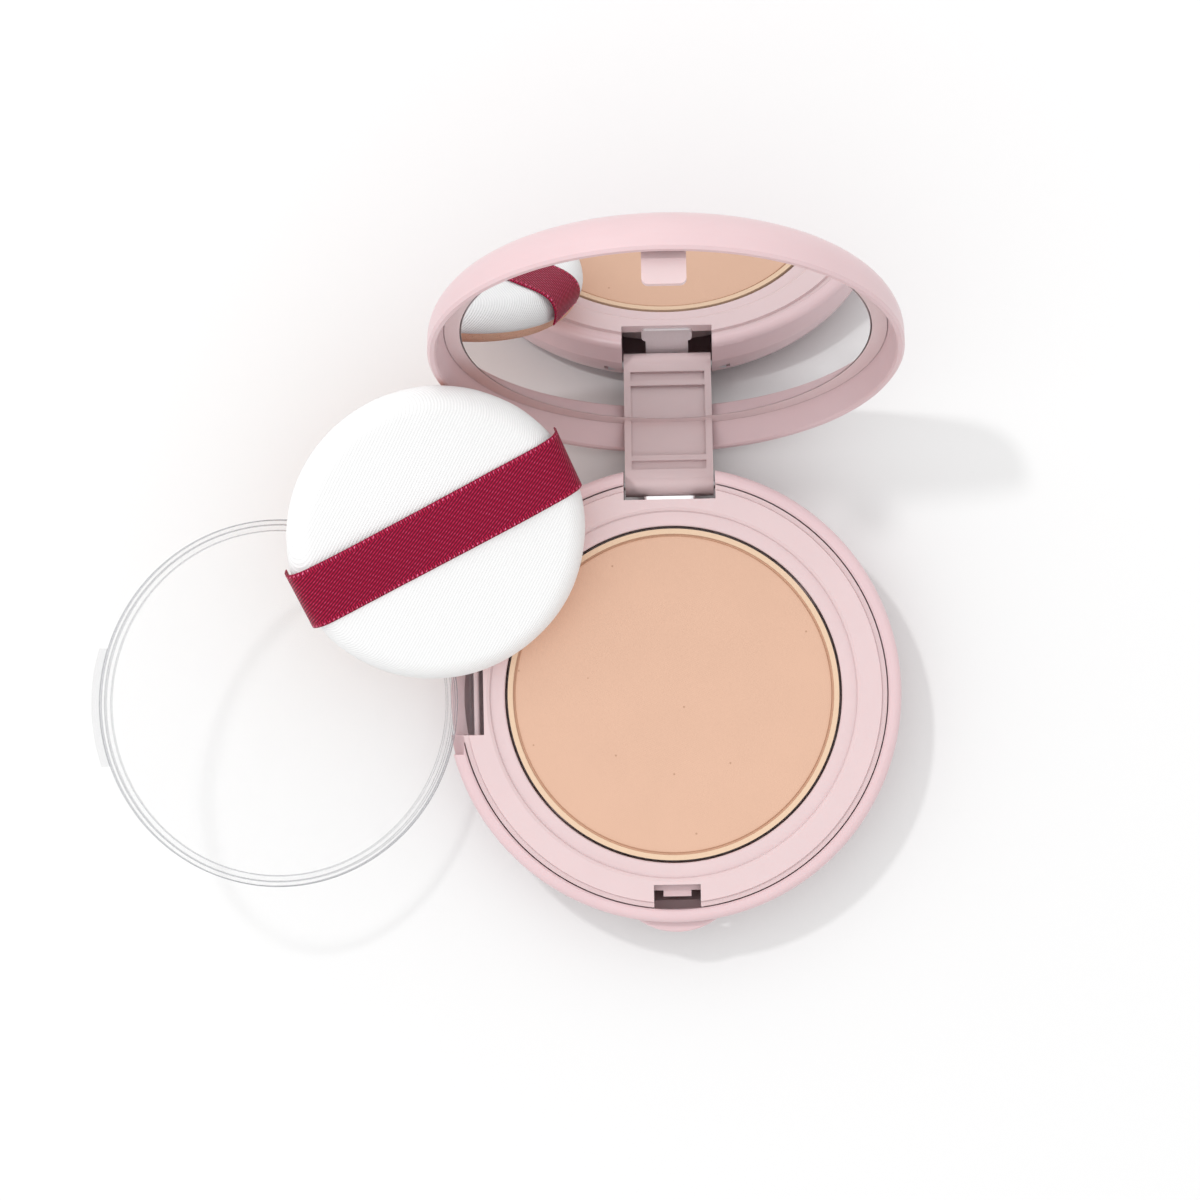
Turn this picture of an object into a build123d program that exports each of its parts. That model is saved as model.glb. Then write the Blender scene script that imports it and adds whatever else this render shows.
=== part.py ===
"""Powder compact with a mirror lid, a clear inner cover, a pressed powder pan and a puff.

Millimetres. Z is up, the origin is the middle of the flat underside, +Y points at the hinge.
The lid stands open, the clear cover is swung out to the left, and the puff leans on the base
and the lid. Every moving part is drawn in its closed position and on a plane that carries it
to the open one, so the local coordinates of that plane are those of the closed compact.
"""
from build123d import *
import os
from math import cos, radians, sin, sqrt

os.makedirs("parts", exist_ok=True)

# ---- driving dimensions -------------------------------------------------------------------
BODY_R = 40.0            # outer radius of base and lid
BASE_H = 14.2            # height of the base's rim
FOOT_R = 29.0            # radius of the flat underside
RIM_INNER_R = 37.7       # inside of the base shell's rim

RING_TOP = 13.9          # top of the frame's ring
RING_R = 37.5            # outer radius of the frame
SEAT_R = 32.1            # step that takes the clear cover
SEAT_TOP = 13.0
WELL_R = 29.6            # pan well
WELL_FLOOR = 8.3

PAN_R = 29.1
PAN_TOP = 12.9
PAN_GAUGE = 0.5
POWDER_TOP = 12.6
GLUE = 0.2               # adhesive under the pan and behind the mirror

HINGE_Y = 37.0           # lid hinge axis
HINGE_Z = 7.0
LID_OPEN_ANGLE = 110.5
LID_RIM = 14.5           # underside of the closed lid's rim
LID_TOP = 23.1
LID_EDGE_R = 6.0         # rounding of the lid's outer edge
MIRROR_FACE = 18.8       # height of the closed mirror's face
MIRROR_R = 34.5
MIRROR_T = 1.2
LEDGE_R = 37.2           # outer radius of the mirror frame

NOTCH_X = 8.05           # half width of the rear notch
NOTCH_Y = 34.2           # its front wall
NOTCH_FLOOR = 2.4
ARM_X = 7.8              # half width of the lid's hinge arm
BARREL_R = 2.0
PIN_R = 0.8
RUN_CLEARANCE = 0.06     # radial clearance of a turning pin

COVER_R = 31.7
COVER_OPEN_ANGLE = 158.0
COVER_AXIS_X = -34.6     # clear cover's hinge axis
COVER_AXIS_Z = 11.6
COVER_BOTTOM = 13.2
COVER_T = 0.9
COVER_PIN_R = 0.5
SIDE_NOTCH_Y = 6.45      # half width of the left notch
SIDE_NOTCH_X = -33.3     # its inner wall
SIDE_NOTCH_FLOOR = 7.8
SIDE_RELIEF_FLOOR = 9.3  # cut in the rim where the open disc passes

SLOT_X = 4.1             # half width of the latch slot in the ring
SLOT_Y = (-37.8, -33.3)
HOOK_X = 3.55            # half width of the lid's hook
HOOK_Y = (-36.9, -36.1)
HOOK_TIP = 9.8           # lowest point of the closed hook
BUTTON_X = 7.2           # half width of the push button
BUTTON_Z = (6.2, 11.8)
BUTTON_PROUD = 1.8       # how far the button stands out of the wall
FIT = 0.2                # gap around the button in its window

PUFF_R = 25.8
PUFF_T = 7.4
PUFF_CENTRE = (-40.7, 29.6, 22.6)
PUFF_TILT = 20.0         # the puff's left rear side is raised
PUFF_TILT_HEADING = 125.0
RIBBON_HEADING = 26.4
RIBBON_W = 10.4
RIBBON_T = 0.4


# ---- places -------------------------------------------------------------------------------
def swung(pivot, turn):
    """The closed compact's own frame after a turn about a pivot."""
    return Plane(Pos(*pivot) * turn * Pos(*[-c for c in pivot]))


def upright(plane):
    """The plane's own XZ plane, for a profile that is revolved about the plane's Z axis."""
    return Plane(plane.origin, x_dir=plane.x_dir, z_dir=-plane.y_dir)


def sideways(plane):
    """The plane's own YZ plane, for a profile that is extruded along its X axis."""
    return Plane(plane.origin, x_dir=plane.y_dir, z_dir=plane.x_dir)


def spin_axis(plane):
    return Axis(plane.origin, plane.z_dir)


CLOSED = Plane.XY
LID = swung((0, HINGE_Y, HINGE_Z), Rot(X=-LID_OPEN_ANGLE))
COVER = swung((COVER_AXIS_X, 0, COVER_AXIS_Z), Rot(Y=-COVER_OPEN_ANGLE))

tilt_sin = sin(radians(PUFF_TILT))
puff_normal = Vector(
    -tilt_sin * cos(radians(PUFF_TILT_HEADING)),
    -tilt_sin * sin(radians(PUFF_TILT_HEADING)),
    cos(radians(PUFF_TILT)),
)
ribbon_level = Vector(cos(radians(RIBBON_HEADING)), sin(radians(RIBBON_HEADING)), 0)
ribbon_along = ribbon_level - puff_normal * ribbon_level.dot(puff_normal)
PUFF = Plane(PUFF_CENTRE, x_dir=ribbon_along, z_dir=puff_normal)


def save(builder, name):
    builder.part.label = name
    export_step(builder.part, f"parts/{name}.step")


# ---- base shell: outer bowl with a rounded rim ---------------------------------------------
bowl_top = 9.6
with BuildPart() as base_shell:
    with BuildSketch(upright(CLOSED)):
        with BuildLine():
            foot = Line((0, 0), (FOOT_R, 0))
            bowl = TangentArc(foot @ 1, (BODY_R, bowl_top), tangent=(1, 0.12))
            wall = Line(bowl @ 1, (BODY_R, BASE_H - 1.3))
            lip = RadiusArc(wall @ 1, (BODY_R - 1.3, BASE_H), -1.3)
            Polyline(
                lip @ 1,
                (RIM_INNER_R + 0.3, BASE_H),
                (RIM_INNER_R, BASE_H - 0.3),
                (RIM_INNER_R, 9.0),
                (34.0, 2.6),
                (FOOT_R, 1.7),
                (0, 1.7),
                (0, 0),
            )
        make_face()
    revolve(axis=Axis.Z)
    # bosses that hold the hinge pin on both sides of the rear notch
    with BuildSketch(Plane.XY.offset(1.5)):
        with Locations((NOTCH_X + 1.6, HINGE_Y - 1.2), (-NOTCH_X - 1.6, HINGE_Y - 1.2)):
            Rectangle(3.2, 6.2)
    extrude(amount=9.9)
    # collar below the frame that carries it
    with BuildSketch(Plane.XY.offset(1.6)):
        Circle(24.0)
        Circle(22.6, mode=Mode.SUBTRACT)
    extrude(amount=5.3)
    # rear notch, open to the back
    with BuildSketch(Plane.XY.offset(NOTCH_FLOOR)):
        with Locations((0, NOTCH_Y + 5)):
            Rectangle(2 * NOTCH_X, 10)
    extrude(amount=BASE_H, mode=Mode.SUBTRACT)
    # everything that the bosses put outside the bowl
    with BuildSketch(upright(CLOSED)):
        with BuildLine():
            Line((FOOT_R, -1), (FOOT_R, 0))
            trim_bowl = TangentArc((FOOT_R, 0), (BODY_R, bowl_top), tangent=(1, 0.12))
            Polyline(trim_bowl @ 1, (BODY_R, 20), (50, 20), (50, -1), (FOOT_R, -1))
        make_face()
    revolve(axis=Axis.Z, mode=Mode.SUBTRACT)
    # bore of the hinge pin
    with BuildSketch(Plane.YZ.offset(-11.3)):
        with Locations((HINGE_Y, HINGE_Z)):
            Circle(PIN_R)
    extrude(amount=22.6, mode=Mode.SUBTRACT)
    # left notch for the clear cover, wider at the rim where the open disc passes
    with BuildSketch(Plane.XY.offset(SIDE_NOTCH_FLOOR)):
        with Locations((-40, 0)):
            Rectangle(10, 2 * SIDE_NOTCH_Y)
    extrude(amount=BASE_H, mode=Mode.SUBTRACT)
    with BuildSketch(Plane.XY.offset(SIDE_RELIEF_FLOOR)):
        with Locations((-41.9, 0)):
            Rectangle(10, 19.6)
    extrude(amount=BASE_H, mode=Mode.SUBTRACT)
    # window of the push button
    with BuildSketch(Plane.XZ.offset(36.5)):
        with Locations((0, sum(BUTTON_Z) / 2)):
            RectangleRounded(2 * (BUTTON_X + FIT), BUTTON_Z[1] - BUTTON_Z[0] + 2 * FIT, 0.9)
    extrude(amount=8, mode=Mode.SUBTRACT)
    # two ribs that carry the button's slide
    with BuildSketch(Plane.XY.offset(1.6)):
        with Locations((5.2, -33.5), (-5.2, -33.5)):
            Rectangle(1.0, 2.5)
    extrude(amount=8.9)
save(base_shell, "base_shell")

# ---- base frame: ring, cover seat and pan well ---------------------------------------------
with BuildPart() as base_frame:
    with BuildSketch(upright(CLOSED)):
        with BuildLine():
            Polyline(
                (4.0, WELL_FLOOR - 1.3),
                (4.0, WELL_FLOOR),
                (WELL_R, WELL_FLOOR),
                (WELL_R, SEAT_TOP - 0.2),
                (WELL_R + 0.2, SEAT_TOP),
                (SEAT_R, SEAT_TOP),
                (SEAT_R + 0.2, SEAT_TOP + 0.6),
                (SEAT_R + 0.7, RING_TOP),
                (RING_R - 1.0, RING_TOP),
                (RING_R - 0.8, RING_TOP - 0.5),
                (RING_R, RING_TOP - 0.5),
                (RING_R, 10.2),
                (RING_R - 1.1, 10.2),
                (RING_R - 1.1, 12.4),
                (WELL_R + 1.1, 12.4),
                (WELL_R + 1.1, WELL_FLOOR - 1.3),
                (4.0, WELL_FLOOR - 1.3),
            )
        make_face()
    revolve(axis=Axis.Z)
    # blocks that hold the clear cover's pin
    with BuildSketch(Plane.XY.offset(9.0)):
        with Locations((-34.3, 7.75), (-34.3, -7.75)):
            Rectangle(4.0, 2.6)
    extrude(amount=4.4)
    # rear notch
    with BuildSketch(Plane.XY.offset(NOTCH_FLOOR)):
        with Locations((0, NOTCH_Y + 5)):
            Rectangle(2 * NOTCH_X, 10)
    extrude(amount=BASE_H, mode=Mode.SUBTRACT)
    # clearance round the shell's hinge bosses
    with BuildSketch(Plane.XY.offset(6.0)):
        with Locations((0, HINGE_Y - 0.6)):
            Rectangle(23.0, 7.6)
    extrude(amount=5.6, mode=Mode.SUBTRACT)
    # left notch
    with BuildSketch(Plane.XY.offset(SIDE_NOTCH_FLOOR)):
        with Locations((SIDE_NOTCH_X - 5, 0)):
            Rectangle(10, 2 * SIDE_NOTCH_Y)
    extrude(amount=BASE_H, mode=Mode.SUBTRACT)
    # bore of the clear cover's pin
    with BuildSketch(Plane.XZ.offset(-9.0)):
        with Locations((COVER_AXIS_X, COVER_AXIS_Z)):
            Circle(COVER_PIN_R)
    extrude(amount=18.0, mode=Mode.SUBTRACT)
    # latch slot, and room below it for the button's slide
    with BuildSketch(Plane.XY.offset(11.0)):
        with Locations((0, sum(SLOT_Y) / 2)):
            Rectangle(2 * SLOT_X, SLOT_Y[1] - SLOT_Y[0])
    extrude(amount=5, mode=Mode.SUBTRACT)
    with BuildSketch(Plane.XY.offset(6.0)):
        with Locations((0, -35.5)):
            Rectangle(18.4, 8.0)
    extrude(amount=6.4, mode=Mode.SUBTRACT)
save(base_frame, "base_frame")

# ---- powder pan, its adhesive and the pressed powder ----------------------------------------
pan_bottom = WELL_FLOOR + GLUE
with BuildPart() as powder_pan:
    with BuildSketch(upright(CLOSED)):
        with BuildLine():
            Polyline(
                (0, pan_bottom),
                (PAN_R - 0.8, pan_bottom),
                (PAN_R, pan_bottom + 0.8),
                (PAN_R, PAN_TOP),
                (PAN_R - 0.9, PAN_TOP),
                (PAN_R - 0.9, pan_bottom + 1.1),
                (PAN_R - 1.4, pan_bottom + PAN_GAUGE),
                (0, pan_bottom + PAN_GAUGE),
                (0, pan_bottom),
            )
        make_face()
    revolve(axis=Axis.Z)
save(powder_pan, "powder_pan")

with BuildPart() as pan_adhesive:
    with BuildSketch(Plane.XY.offset(WELL_FLOOR)):
        Circle(22.0)
        Circle(9.0, mode=Mode.SUBTRACT)
    extrude(amount=GLUE)
save(pan_adhesive, "pan_adhesive")

with BuildPart() as pressed_powder:
    with BuildSketch(upright(CLOSED)):
        with BuildLine():
            Polyline(
                (0, pan_bottom + PAN_GAUGE),
                (PAN_R - 1.4, pan_bottom + PAN_GAUGE),
                (PAN_R - 0.9, pan_bottom + 1.1),
                (PAN_R - 0.9, POWDER_TOP - 0.3),
                (PAN_R - 1.2, POWDER_TOP - 0.3),
                (PAN_R - 1.4, POWDER_TOP),
                (0, POWDER_TOP),
                (0, pan_bottom + PAN_GAUGE),
            )
        make_face()
    revolve(axis=Axis.Z)
save(pressed_powder, "pressed_powder")

# ---- lid hinge pin and the leaf spring that bears on the barrel ------------------------------
with BuildPart() as lid_hinge_pin:
    with BuildSketch(Plane.YZ.offset(-10.6)):
        with Locations((HINGE_Y, HINGE_Z)):
            Circle(PIN_R)
    extrude(amount=21.2)
save(lid_hinge_pin, "lid_hinge_pin")

SPRING_T = 0.6
with BuildPart() as hinge_spring_plate:
    with BuildSketch(Plane.XZ.offset(-NOTCH_Y)):
        with Locations((0, 7.4)):
            Rectangle(7.6, 10.0)
        with Locations((0, 12.0)):
            RectangleRounded(9.0, 2.6, 0.8)
    extrude(amount=-SPRING_T)
save(hinge_spring_plate, "hinge_spring_plate")

# ---- push button with its slide, and the latch spring ----------------------------------------
SLIDE_Z = (10.6, 11.7)
CAP_BACK = -38.4
WINDOW_FRONT = -34.4
with BuildPart() as latch_button:
    cap_side = -sqrt(BODY_R**2 - BUTTON_X**2)
    with BuildSketch(Plane.XY.offset(BUTTON_Z[0])):
        with BuildLine():
            front = ThreePointArc(
                (-BUTTON_X, cap_side), (0, -BODY_R - BUTTON_PROUD), (BUTTON_X, cap_side)
            )
            Polyline(front @ 1, (BUTTON_X, CAP_BACK), (-BUTTON_X, CAP_BACK), front @ 0)
        make_face()
    extrude(amount=BUTTON_Z[1] - BUTTON_Z[0])
    fillet(latch_button.edges().filter_by(Axis.Y), 0.8)
    outer_face = latch_button.faces().sort_by(Axis.Y)[0]
    fillet(outer_face.edges(), 0.5)
    # slide: arms round the hook's window, cross bar, tongue, and shoulders behind the wall
    with BuildSketch(Plane.XY.offset(SLIDE_Z[0])):
        with Locations((0, -35.35)):
            Rectangle(12.4, 6.3)
        with Locations((0, -36.0)):
            Rectangle(16.6, 1.0)
        with Locations((0, (CAP_BACK + WINDOW_FRONT) / 2)):
            Rectangle(2 * SLOT_X + 0.4, WINDOW_FRONT - CAP_BACK, mode=Mode.SUBTRACT)
        with Locations((0, WINDOW_FRONT - 0.5)):
            Rectangle(4.9, 1.2)
    extrude(amount=SLIDE_Z[1] - SLIDE_Z[0])
save(latch_button, "latch_button")

LEAF_T = 0.15
leaf_end = (5.2, -30.5)
leaf_crown = -31.95
with BuildPart() as latch_spring:
    with BuildSketch(Plane.XY.offset(SLIDE_Z[0] + 0.15)):
        with BuildLine():
            outer = ThreePointArc(
                (-leaf_end[0], leaf_end[1] - LEAF_T),
                (0, leaf_crown - LEAF_T),
                (leaf_end[0], leaf_end[1] - LEAF_T),
            )
            inside = ThreePointArc((-leaf_end[0], leaf_end[1]), (0, leaf_crown), leaf_end)
            Line(outer @ 0, inside @ 0)
            Line(outer @ 1, inside @ 1)
        make_face()
    extrude(amount=SLIDE_Z[1] - SLIDE_Z[0] - 0.3)
save(latch_spring, "latch_spring")

# ---- lid shell -------------------------------------------------------------------------------
with BuildPart() as lid_shell:
    with BuildSketch(upright(LID)):
        with BuildLine():
            side = Line((BODY_R, LID_RIM + 0.5), (BODY_R, LID_TOP - LID_EDGE_R))
            edge = RadiusArc(side @ 1, (BODY_R - LID_EDGE_R, LID_TOP), -LID_EDGE_R)
            Polyline(
                edge @ 1,
                (0, LID_TOP),
                (0, LID_TOP - 1.4),
                (35.0, LID_TOP - 1.4),
                (LEDGE_R + 0.1, 19.5),
                (LEDGE_R + 0.1, MIRROR_FACE),
                (BODY_R - 1.4, LID_RIM + 0.3),
                (BODY_R - 1.1, LID_RIM),
                (BODY_R - 0.4, LID_RIM),
                side @ 0,
            )
        make_face()
    revolve(axis=spin_axis(LID))
save(lid_shell, "lid_shell")

# ---- lid inner frame: mirror pocket, hinge arm and hook ---------------------------------------
pocket = MIRROR_FACE + MIRROR_T + GLUE
ARM_FRONT = HINGE_Y - 1.9
ARM_BACK_INSIDE = 36.3   # back of the arm where it stands inside the lid
ARM_FOOT = MIRROR_FACE + 0.3
RAIL = 1.2
RECESS = 0.8
RIB_Z = (11.0, 12.0)
with BuildPart() as lid_inner_frame:
    with BuildSketch(upright(LID)):
        with BuildLine():
            Polyline(
                (0, pocket),
                (MIRROR_R + 0.15, pocket),
                (MIRROR_R + 0.15, MIRROR_FACE),
                (LEDGE_R, MIRROR_FACE),
                (LEDGE_R, 19.4),
                (34.9, LID_TOP - 1.5),
                (0, LID_TOP - 1.5),
                (0, pocket),
            )
        make_face()
    revolve(axis=spin_axis(LID))
    # hinge arm
    with BuildSketch(sideways(LID)):
        with BuildLine():
            Polyline(
                (ARM_FRONT, HINGE_Z),
                (ARM_FRONT, ARM_FOOT),
                (ARM_BACK_INSIDE, ARM_FOOT),
                (ARM_BACK_INSIDE, LID_RIM),
                (BODY_R, LID_RIM),
                (BODY_R, HINGE_Z + 2.4),
                (HINGE_Y + BARREL_R, HINGE_Z + 0.8),
                (HINGE_Y + BARREL_R, HINGE_Z),
                (ARM_FRONT, HINGE_Z),
            )
        make_face()
        with Locations((HINGE_Y, HINGE_Z)):
            Circle(BARREL_R)
    extrude(amount=ARM_X, both=True)
    with BuildSketch(LID):
        Circle(BODY_R - 0.1)
    extrude(amount=LID_TOP, mode=Mode.INTERSECT)
    # two recesses with a rib between them
    with BuildSketch(upright(LID).offset(-ARM_FRONT)):
        for low, high in ((HINGE_Z + 2.3, RIB_Z[0]), (RIB_Z[1], MIRROR_FACE)):
            with Locations((0, (low + high) / 2)):
                Rectangle(2 * (ARM_X - RAIL), high - low)
    extrude(amount=-RECESS, mode=Mode.SUBTRACT)
    with BuildSketch(sideways(LID)):
        with Locations((HINGE_Y, HINGE_Z)):
            Circle(PIN_R + RUN_CLEARANCE)
    extrude(amount=ARM_X, both=True, mode=Mode.SUBTRACT)
    # hook with a shallow barb at its tip
    with BuildSketch(upright(LID).offset(-HOOK_Y[1])):
        with Locations((0, (HOOK_TIP + ARM_FOOT) / 2)):
            RectangleRounded(2 * HOOK_X, ARM_FOOT - HOOK_TIP, 1.1)
    extrude(amount=HOOK_Y[1] - HOOK_Y[0])
    with BuildSketch(upright(LID).offset(-HOOK_Y[1])):
        with Locations((0, HOOK_TIP + 0.4)):
            Rectangle(2 * HOOK_X - 2.4, 0.5)
    extrude(amount=-0.3)
save(lid_inner_frame, "lid_inner_frame")

with BuildPart() as mirror_adhesive:
    with BuildSketch(LID.offset(MIRROR_FACE + MIRROR_T)):
        Circle(32.0)
    extrude(amount=GLUE)
save(mirror_adhesive, "mirror_adhesive")

with BuildPart() as mirror_glass:
    with BuildSketch(LID.offset(MIRROR_FACE)):
        Circle(MIRROR_R)
    extrude(amount=MIRROR_T)
    chamfer(mirror_glass.edges().filter_by(GeomType.CIRCLE), 0.15)
save(mirror_glass, "mirror")

# ---- clear inner cover and its pin -------------------------------------------------------------
COVER_TAB_Z = 14.05
COVER_TAB_T = 0.6
KNUCKLE_R = 1.15
KNUCKLE_Y = 6.2
TAB_REACH = 1.3
with BuildPart() as clear_cover:
    with BuildSketch(upright(COVER)):
        with BuildLine():
            top = COVER_BOTTOM + COVER_T
            Polyline(
                (0, COVER_BOTTOM),
                (COVER_R - 0.15, COVER_BOTTOM),
                (COVER_R, COVER_BOTTOM + 0.15),
                (COVER_R, top + 0.4),
                (COVER_R - 0.9, top + 0.4),
                (COVER_R - 1.0, top + 0.15),
                (COVER_R - 1.9, top + 0.1),
                (COVER_R - 2.0, top),
                (0, top),
                (0, COVER_BOTTOM),
            )
        make_face()
    revolve(axis=spin_axis(COVER))
    # finger tab on the far side
    with BuildSketch(COVER.offset(COVER_TAB_Z)):
        Circle(COVER_R + TAB_REACH)
        Circle(COVER_R - 0.5, mode=Mode.SUBTRACT)
        with Locations((COVER_R, 0)):
            Rectangle(10, 20, mode=Mode.INTERSECT)
    extrude(amount=COVER_TAB_T)
    # hinge tab, web and knuckle
    with BuildSketch(sideways(COVER).offset(COVER_AXIS_X - 0.7)):
        with Locations((0, (COVER_AXIS_Z + COVER_TAB_Z + COVER_TAB_T) / 2)):
            Rectangle(2 * KNUCKLE_Y, COVER_TAB_Z + COVER_TAB_T - COVER_AXIS_Z)
    extrude(amount=1.5)
    with BuildSketch(COVER.offset(COVER_TAB_Z)):
        with Locations(((COVER_AXIS_X - 0.7 - COVER_R + 0.8) / 2, 0)):
            Rectangle(COVER_R - 0.8 - abs(COVER_AXIS_X - 0.7), 2 * KNUCKLE_Y)
    extrude(amount=COVER_TAB_T)
    with BuildSketch(upright(COVER)):
        with Locations((COVER_AXIS_X, COVER_AXIS_Z)):
            Circle(KNUCKLE_R)
    extrude(amount=KNUCKLE_Y, both=True)
    with BuildSketch(upright(COVER)):
        with Locations((COVER_AXIS_X, COVER_AXIS_Z)):
            Circle(COVER_PIN_R + RUN_CLEARANCE)
    extrude(amount=KNUCKLE_Y, both=True, mode=Mode.SUBTRACT)
save(clear_cover, "clear_cover")

with BuildPart() as cover_hinge_pin:
    with BuildSketch(Plane.XZ):
        with Locations((COVER_AXIS_X, COVER_AXIS_Z)):
            Circle(COVER_PIN_R)
    extrude(amount=8.6, both=True)
save(cover_hinge_pin, "cover_hinge_pin")

# ---- puff: sponge underside, foam core, woven cover, ribbon and its stitching --------------------
SPONGE_R = 25.0
SPONGE_T = 2.3
CLOTH = 0.5
with BuildPart() as puff_sponge:
    with BuildSketch(upright(PUFF)):
        with BuildLine():
            sole = Line((0, 0), (SPONGE_R - 1.8, 0))
            RadiusArc(sole @ 1, (SPONGE_R, 1.8), -1.8)
            Polyline((SPONGE_R, 1.8), (SPONGE_R, SPONGE_T), (0, SPONGE_T), (0, 0))
        make_face()
    revolve(axis=spin_axis(PUFF))
save(puff_sponge, "puff_sponge")

foam_top = PUFF_T - CLOTH
foam_r = PUFF_R - CLOTH
with BuildPart() as puff_foam:
    with BuildSketch(upright(PUFF)):
        with BuildLine():
            Polyline((0, SPONGE_T), (foam_r - 0.6, SPONGE_T), (foam_r - 0.05, 3.2))
            crown = RadiusArc((foam_r - 0.05, 3.2), (foam_r - 3.6, foam_top - 0.05), -4.2)
            Polyline(crown @ 1, (0, foam_top - 0.05), (0, SPONGE_T))
        make_face()
    revolve(axis=spin_axis(PUFF))
save(puff_foam, "puff_foam")

with BuildPart() as puff_cover:
    with BuildSketch(upright(PUFF)):
        with BuildLine():
            outside = RadiusArc((PUFF_R, 3.2), (PUFF_R - 4.1, PUFF_T), -4.7)
            Polyline(outside @ 1, (0, PUFF_T), (0, foam_top), (foam_r - 3.6, foam_top))
            within = RadiusArc((foam_r - 3.6, foam_top), (foam_r, 3.2), 4.2)
            Polyline(within @ 1, (foam_r - 0.6, SPONGE_T), (PUFF_R - 0.6, SPONGE_T), (PUFF_R, 3.2))
        make_face()
    revolve(axis=spin_axis(PUFF))
save(puff_cover, "puff_cover")


def ribbon_line(lift):
    """Half of the ribbon's arch over the puff, from its middle to its end, raised by lift."""
    spread = 1 + lift / PUFF_R
    return [
        (0, PUFF_T + 0.8 + lift),
        (20.0 * spread, PUFF_T + 0.5 + lift),
        (24.4 * spread, PUFF_T + lift * 0.8),
        (26.3 * spread, 5.2 + lift * 0.2),
        (26.1 * spread, 2.9),
    ]


with BuildPart() as puff_ribbon:
    with BuildSketch(upright(PUFF)):
        with BuildLine():
            Polyline(*ribbon_line(0), *reversed(ribbon_line(RIBBON_T)), ribbon_line(0)[0])
        make_face()
        mirror(about=Plane.YZ)
    extrude(amount=RIBBON_W / 2, both=True)
save(puff_ribbon, "puff_ribbon")

# the ribbon's tail, sewn flat against the puff's side
with BuildPart() as ribbon_stitching:
    with BuildSketch(sideways(PUFF).offset(PUFF_R + 0.2)):
        with Locations((0, 1.75)):
            Rectangle(9.2, 1.5)
    extrude(amount=0.2)
    with BuildSketch(sideways(PUFF).offset(PUFF_R + 0.3)):
        for place in range(-2, 3):
            with Locations((1.8 * place, 1.9)):
                Rectangle(1.1, 0.32)
    extrude(amount=0.25)
save(ribbon_stitching, "ribbon_stitching")
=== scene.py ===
"""Finishes, puff, ribbon, lights and camera for an open powder compact.

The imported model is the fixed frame. Its moulded and metal parts keep their shape and get a
finish here. The soft parts of the puff are made anew: the cloth top, the sponge underside,
the satin ribbon with its selvedge loops, and the stitches at the ribbon's ends.
"""

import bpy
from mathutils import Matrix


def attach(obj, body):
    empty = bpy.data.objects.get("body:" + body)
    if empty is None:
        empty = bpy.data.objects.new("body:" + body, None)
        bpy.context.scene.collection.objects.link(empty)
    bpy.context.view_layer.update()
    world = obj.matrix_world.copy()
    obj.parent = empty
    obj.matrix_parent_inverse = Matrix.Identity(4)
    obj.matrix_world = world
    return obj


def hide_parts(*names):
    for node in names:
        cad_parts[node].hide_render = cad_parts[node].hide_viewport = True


bl_info = {
    "name": "Powder Compact",
    "version": (1, 0, 0),
    "blender": (4, 5, 0),
    "location": "View3D > Sidebar > Compact",
    "description": "Finishes, puff, ribbon, lights and camera for an open powder compact",
    "category": "Add Mesh",
}

from math import cos, pi, radians, sin

import bmesh
import bpy
from bpy.props import FloatProperty, FloatVectorProperty, IntProperty, PointerProperty
from mathutils import Euler, Matrix, Vector, noise

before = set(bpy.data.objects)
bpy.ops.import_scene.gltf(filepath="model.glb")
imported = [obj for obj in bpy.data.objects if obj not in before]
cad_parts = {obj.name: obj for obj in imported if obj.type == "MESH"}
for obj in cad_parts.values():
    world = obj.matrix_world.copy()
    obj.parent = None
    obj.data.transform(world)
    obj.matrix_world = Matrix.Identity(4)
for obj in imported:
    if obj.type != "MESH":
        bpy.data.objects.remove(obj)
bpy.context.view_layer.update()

MM = 0.001

# ---- where the turned parts stand, in metres ---------------------------------------------------
LID_PIVOT = Vector((0, 0.0370, 0.0070))
LID_TURN = Euler((radians(-110.5), 0, 0))
COVER_PIVOT = Vector((-0.0346, 0, 0.0116))
COVER_TURN = Euler((0, radians(-158.0), 0))
PUFF_MIDDLE = Vector((-0.0407, 0.0296, 0.0226))
PUFF_TILT = radians(20.0)
PUFF_TILT_HEADING = radians(125.0)
RIBBON_HEADING = radians(26.4)


def turned_about(pivot, turn):
    """The matrix that carries the closed compact's coordinates to a part that has swung open."""
    return Matrix.Translation(pivot) @ turn.to_matrix().to_4x4() @ Matrix.Translation(-pivot)


def puff_axes():
    """The puff's own frame: X along the ribbon, Z out of the cloth top, origin under its middle."""
    lean = sin(PUFF_TILT)
    out = Vector((-lean * cos(PUFF_TILT_HEADING), -lean * sin(PUFF_TILT_HEADING), cos(PUFF_TILT)))
    level = Vector((cos(RIBBON_HEADING), sin(RIBBON_HEADING), 0))
    along = (level - out * level.dot(out)).normalized()
    across = out.cross(along)
    made = Matrix((along, across, out)).transposed().to_4x4()
    made.translation = PUFF_MIDDLE
    return made


LID_FRAME = turned_about(LID_PIVOT, LID_TURN)
COVER_FRAME = turned_about(COVER_PIVOT, COVER_TURN)
PUFF_FRAME = puff_axes()
CLOSED_FRAME = Matrix.Identity(4)


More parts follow.
